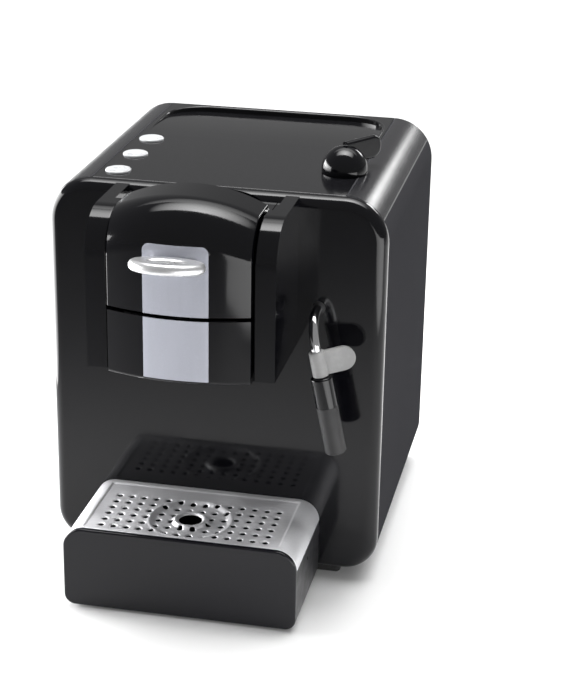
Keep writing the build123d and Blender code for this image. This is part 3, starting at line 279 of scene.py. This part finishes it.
materials = {
    "gloss_black": gloss_plastic("gloss black", (0.0025, 0.0025, 0.0035), sheen=0.33),
    "gloss_black_top": gloss_plastic("gloss black top", (0.005, 0.005, 0.006), rough=0.08),
    "gloss_grey": gloss_plastic("gloss grey", (0.006, 0.006, 0.008), rough=0.08, sheen=0.3),
    "satin_grey": satin_paint("satin grey", (0.034, 0.034, 0.037), rough=0.25, sheen=0.0),
    "matte_black": moulded("matte black", (0.016, 0.016, 0.017)),
    "tray_black": moulded("tray black", (0.018, 0.018, 0.02), rough=0.35),
    "foot_rubber": moulded("foot rubber", (0.012, 0.012, 0.012), rough=0.75, grain=400.0),
    "seal_rubber": moulded("seal rubber", (0.16, 0.03, 0.02), rough=0.6),
    "grip_rubber": moulded("grip rubber", (0.27, 0.27, 0.27), rough=0.5, depth=0.00006),
    "button_white": moulded("button white", (0.5, 0.51, 0.52), rough=0.3, depth=0.00002),
    "coil_black": moulded("coil black", (0.02, 0.02, 0.02), rough=0.45),
    "board_green": moulded("board green", (0.02, 0.12, 0.05), rough=0.35),
    "pipe_white": moulded("pipe white", (0.7, 0.7, 0.68), rough=0.4),
    # its flakes get a painted glint: lighter specks in the base colour
    "silver_satin": satin_paint("silver satin", (0.36, 0.37, 0.42), rough=0.3, flake_glint=0.2),
    "zinc_steel": metal("zinc steel", (0.55, 0.55, 0.54), rough=0.35),
    "satin_chrome": metal("satin chrome", (0.88, 0.88, 0.89), rough=0.33, stain=0.05,
                          metallic=0.85),
    "chrome": metal("chrome", (0.8, 0.8, 0.81), rough=0.06, depth=0.00001, stain=0.05),
    "stainless": metal("stainless", (0.88, 0.88, 0.9), rough=0.5, stretch=(0.03, 1.0, 1.0),
                       lines=900.0, strength=0.08, stain=0.06, metallic=0.78),
    "brass": metal("brass", (0.72, 0.55, 0.27), rough=0.3),
    "brushed_steel": metal("turned steel", (0.6, 0.6, 0.6), rough=0.3,
                           stretch=(1.0, 1.0, 0.03)),
    "tank_smoke": smoked_plastic("tank smoke", (0.05, 0.05, 0.055)),
}

# the shells' sides have no gloss of their own: their upper corners are polished
corner_paint = satin_paint("polished corner", (0.014, 0.014, 0.016), rough=0.22, sheen=0.5)


def paint(thing, slot):
    thing.data.materials.clear()
    thing.data.materials.append(materials[slot])


for part in record["subparts"]:
    paint(nodes[part["node"]], part["material_slot"])


# ---------------------------------------------------------------- replacement pieces

def new_piece(name, vertices, faces, slot, body, *replaced):
    """Makes a smooth mesh piece, paints it and gives it to a body in place of its CAD nodes."""
    mesh = bpy.data.meshes.new(name)
    mesh.from_pydata([tuple(v) for v in vertices], [], [tuple(f) for f in faces])
    mesh.polygons.foreach_set("use_smooth", [True] * len(mesh.polygons))
    thing = bpy.data.objects.new(name, mesh)
    bpy.context.scene.collection.objects.link(thing)
    paint(thing, slot)
    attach(thing, body)
    if replaced:
        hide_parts(*replaced)
    return thing


def smooth_step(value, low, high):
    share = numpy.clip((value - low) / (high - low), 0.0, 1.0)
    return share * share * (3 - 2 * share)


def make_grille():
    """The pressed steel grille: one sheet wrapped over the tray, with its step, dish and holes."""
    low, high = (Vector(c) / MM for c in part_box("drip_grille"))
    corner = GRILLE_CORNER
    flat = high.x - low.x - 2 * corner
    bend = math.pi / 2 * corner
    top = high.z - GRILLE_LIP
    along = numpy.linspace(0, flat + 2 * bend, round((flat + 2 * bend) / GRILLE_MESH) + 1)
    deep = numpy.linspace(low.y, high.y, round((high.y - low.y) / GRILLE_MESH) + 1)
    u, y = numpy.meshgrid(along - flat / 2 - bend, deep, indexing="ij")
    middle_x = (low.x + high.x) / 2
    pitch_x, pitch_y = HOLE_PITCH
    column = numpy.clip(numpy.round(u / pitch_x - 0.5) + 0.5, -(HOLE_COLUMNS - 1) / 2,
                        (HOLE_COLUMNS - 1) / 2)
    row = numpy.clip(numpy.round((y - GRID_Y) / pitch_y - 0.5) + 0.5, -(HOLE_ROWS - 1) / 2,
                     (HOLE_ROWS - 1) / 2)
    hole_x, hole_y = column * pitch_x, GRID_Y + row * pitch_y
    drilled = numpy.hypot(hole_x, hole_y - DISH_Y) > (
        DRAIN_RADIUS + HOLE_MARGIN + HOLE_RADIUS)
    # the drain in the dish's middle is one more hole
    near_drain = numpy.hypot(u, y - DISH_Y) < DRAIN_RADIUS + DRAIN_CATCH
    hole_x = numpy.where(near_drain, 0.0, hole_x)
    hole_y = numpy.where(near_drain, DISH_Y, hole_y)
    radius = numpy.where(near_drain, DRAIN_RADIUS, numpy.where(drilled, HOLE_RADIUS, 0.0))
    away = numpy.hypot(u - hole_x, y - hole_y)
    inside = away < radius
    # points inside a hole move out to its edge, and the faces between them are left out
    pull = numpy.where(inside & (away > 1e-6), radius / numpy.maximum(away, 1e-6), 1.0)
    u, y = hole_x + (u - hole_x) * pull, hole_y + (y - hole_y) * pull
    away = numpy.maximum(away, radius)
    ring = numpy.hypot(u, y - DISH_Y)
    edge = numpy.minimum(flat / 2 + STEP_OUT - numpy.abs(u),
                         numpy.minimum(y - low.y - STEP_FRONT, high.y - STEP_BACK - y))
    drop = -STEP_DEPTH * smooth_step(edge, *STEP_SLOPE)
    dish = -DISH_DEPTH * (1 - smooth_step(ring, DISH_RADIUS - DISH_SLOPE, DISH_RADIUS))
    past_drain = ring - DRAIN_RADIUS
    dish += (DISH_DEPTH + GRILLE_LIP * DRAIN_LIP_SHARE) * (1 - smooth_step(past_drain, *DRAIN_LIP))
    dish -= DRAIN_FALL * (1 - smooth_step(past_drain, *DRAIN_FALL_SPAN))
    dish += RIDGE_HEIGHT * numpy.exp(-((ring - DISH_RADIUS - RIDGE_OUT) / RIDGE_SPREAD) ** 2)
    rim = numpy.where((radius > 0) & ~near_drain,
                      -HOLE_RIM_DEPTH * (1 - smooth_step(away - radius, *HOLE_RIM)), 0.0)
    lift = drop + dish + rim
    angle = numpy.clip((numpy.abs(u) - flat / 2) / corner, 0.0, math.pi / 2)
    side = numpy.sign(u)
    reach = numpy.minimum(numpy.abs(u), flat / 2) + (corner + lift) * numpy.sin(angle)
    x = middle_x + side * reach
    z = top - corner + (corner + lift) * numpy.cos(angle)
    vertices = numpy.stack([x, y, z], axis=-1).reshape(-1, 3) * MM
    wide, long = u.shape
    index = numpy.arange(wide * long).reshape(wide, long)
    quads = numpy.stack([index[:-1, :-1], index[1:, :-1], index[1:, 1:], index[:-1, 1:]], axis=-1)
    open_faces = inside[:-1, :-1] & inside[1:, :-1] & inside[1:, 1:] & inside[:-1, 1:]
    quads = quads[~open_faces]
    used = numpy.unique(quads)
    renumber = numpy.zeros(len(vertices), dtype=int)
    renumber[used] = numpy.arange(len(used))
    piece = new_piece("grille_sheet", vertices[used].tolist(), renumber[quads].tolist(),
                      "stainless", "grille", "drip_grille")
    thick = piece.modifiers.new("sheet", "SOLIDIFY")
    thick.thickness = GRILLE_SHEET * MM
    thick.offset = -1.0


def make_rest_bead():
    """The thin raised bead round the cup rest, fading out where the floor meets the top."""
    low, high = (Vector(c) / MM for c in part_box("top_cover"))
    half = high.x - BEAD_INSET
    back = high.y - BEAD_INSET_BACK
    start = back - BEAD_REACH
    path = [(-half, y) for y in numpy.linspace(start, back - BEAD_CORNER, BEAD_POINTS)]
    for side in (-1, 1):
        turn = [(side * (half - BEAD_CORNER + BEAD_CORNER * math.cos(a)),
                 back - BEAD_CORNER + BEAD_CORNER * math.sin(a))
                for a in numpy.linspace(0, math.pi / 2, BEAD_POINTS)[1:]]
        path += turn if side < 0 else turn[::-1]
    path += [(half, y) for y in numpy.linspace(back - BEAD_CORNER, start, BEAD_POINTS)]
    path = numpy.array(path)
    heading = numpy.gradient(path, axis=0)
    heading /= numpy.linalg.norm(heading, axis=1)[:, None]
    count = len(path)
    share = numpy.minimum(numpy.arange(count), numpy.arange(count)[::-1]) / BEAD_FADE
    size = smooth_step(share, 0.0, 1.0)
    vertices = []
    for (x, y), (hx, hy), k in zip(path, heading, size):
        width = BEAD_END_WIDTH + (1 - BEAD_END_WIDTH) * k
        for across, up in BEAD_PROFILE:
            z = high.z + up * k - BEAD_END_SINK * (1 - k)
            vertices.append(((x - hy * across * width) * MM, (y + hx * across * width) * MM,
                             z * MM))
    n = len(BEAD_PROFILE)
    faces = [(i * n + j, i * n + j + 1, (i + 1) * n + j + 1, (i + 1) * n + j)
             for i in range(count - 1) for j in range(n - 1)]
    faces.append(tuple(range(n)))
    faces.append(tuple(range((count - 1) * n, count * n))[::-1])
    new_piece("rest_bead", vertices, faces, "gloss_black_top", "machine")


def make_corner_band(node, side):
    """The polished band along a shell's upper corner: a skin whose long edges sink in."""
    low, high = (Vector(c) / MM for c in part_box(node))
    centre_x = side * (max(abs(low.x), abs(high.x)) - CORNER_ROUND)
    centre_z = high.z - CORNER_ROUND
    steps = numpy.linspace(0, 1, BAND_ACROSS)
    angles = numpy.radians(BAND_FROM + (BAND_TO - BAND_FROM) * steps)
    sunk = 1 - smooth_step(numpy.minimum(steps, 1 - steps), 0, BAND_EDGE)
    heights = CORNER_ROUND + BAND_RAISED - BAND_SINK * sunk
    vertices = []
    for y in numpy.linspace(low.y + BAND_END, high.y - BAND_END, BAND_ALONG):
        for angle, height in zip(angles, heights):
            vertices.append(((centre_x + side * height * math.sin(angle)) * MM, y * MM,
                             (centre_z + height * math.cos(angle)) * MM))
    n = len(steps)
    faces = [(i * n + j, (i + 1) * n + j, (i + 1) * n + j + 1, i * n + j + 1)[::side]
             for i in range(BAND_ALONG - 1) for j in range(n - 1)]
    band = new_piece(node + "_corner", vertices, faces, "satin_grey", "machine")
    band.data.materials[0] = corner_paint


def make_button(node, body):
    """A push button's cap: a shallow dish inside a soft rim, with a short skirt below."""
    low, high = (Vector(c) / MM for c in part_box(node))
    middle = (low + high) / 2
    turns = BUTTON_TURNS
    vertices = []
    for distance, height in BUTTON_PROFILE:
        for k in range(turns):
            a = 2 * math.pi * k / turns
            vertices.append(((middle.x + distance * math.cos(a)) * MM,
                             (middle.y + distance * math.sin(a)) * MM, (high.z + height) * MM))
    faces = [(i * turns + k, (i + 1) * turns + k, (i + 1) * turns + (k + 1) % turns,
              i * turns + (k + 1) % turns)
             for i in range(len(BUTTON_PROFILE) - 1) for k in range(turns)]
    new_piece(node + "_cap", vertices, faces, "button_white", body, node)


make_grille()
make_rest_bead()
make_corner_band("left_shell", -1)
make_corner_band("right_shell", 1)
for button in ("espresso_button", "long_button", "steam_button"):
    make_button(button, button)


# ---------------------------------------------------------------- stage, light, camera

def make_stage():
    mesh = bpy.data.meshes.new("floor")
    half = FLOOR_SIZE / 2
    mesh.from_pydata([(-half, -half, 0), (half, -half, 0), (half, half, 0), (-half, half, 0)], [],
                     [(0, 1, 2, 3)])
    floor = bpy.data.objects.new("floor", mesh)
    bpy.context.scene.collection.objects.link(floor)
    m = Nodes("pale floor")
    m.into("Base Color", m.over(m.remap(m.noise(0.8), 0.0, 1.0), (0.86, 0.86, 0.86),
                                (0.88, 0.88, 0.88)))
    m.set(Roughness=0.6)
    floor.data.materials.append(m.material)


def make_light(name, size, radiance, location, target, spread):
    """A soft rectangle of light; at the full spread, its face looks as bright as radiance says."""
    data = bpy.data.lights.new(name, "AREA")
    data.shape = "RECTANGLE"
    data.size, data.size_y = size
    data.energy = radiance * math.pi * size[0] * size[1]
    data.spread = math.radians(spread)
    light = bpy.data.objects.new(name, data)
    light.location = location
    light.rotation_euler = (Vector(target) - Vector(location)).to_track_quat("-Z", "Y").to_euler()
    light.visible_camera = False
    bpy.context.scene.collection.objects.link(light)


def make_world():
    world = bpy.data.worlds.new("studio")
    world.use_nodes = True
    background = world.node_tree.nodes["Background"]
    background.inputs["Color"].default_value = (1.0, 1.0, 1.0, 1)
    background.inputs["Strength"].default_value = WORLD_STRENGTH
    bpy.context.scene.world = world


def make_camera():
    data = bpy.data.cameras.new("camera")
    data.lens = CAMERA_LENS
    data.sensor_width = CAMERA_SENSOR
    camera = bpy.data.objects.new("camera", data)
    azimuth, elevation, roll = (math.radians(a) for a in CAMERA_TURN)
    turn = Euler((math.pi / 2 - elevation, 0, azimuth)).to_matrix() @ Matrix.Rotation(roll, 3, "Z")
    camera.rotation_euler = turn.to_euler()
    camera.location = CAMERA_PLACE
    bpy.context.scene.collection.objects.link(camera)
    bpy.context.scene.camera = camera
    bpy.context.scene.view_settings.view_transform = "Standard"


make_stage()
make_world()
for light in LIGHTS:
    make_light(*light)
make_camera()
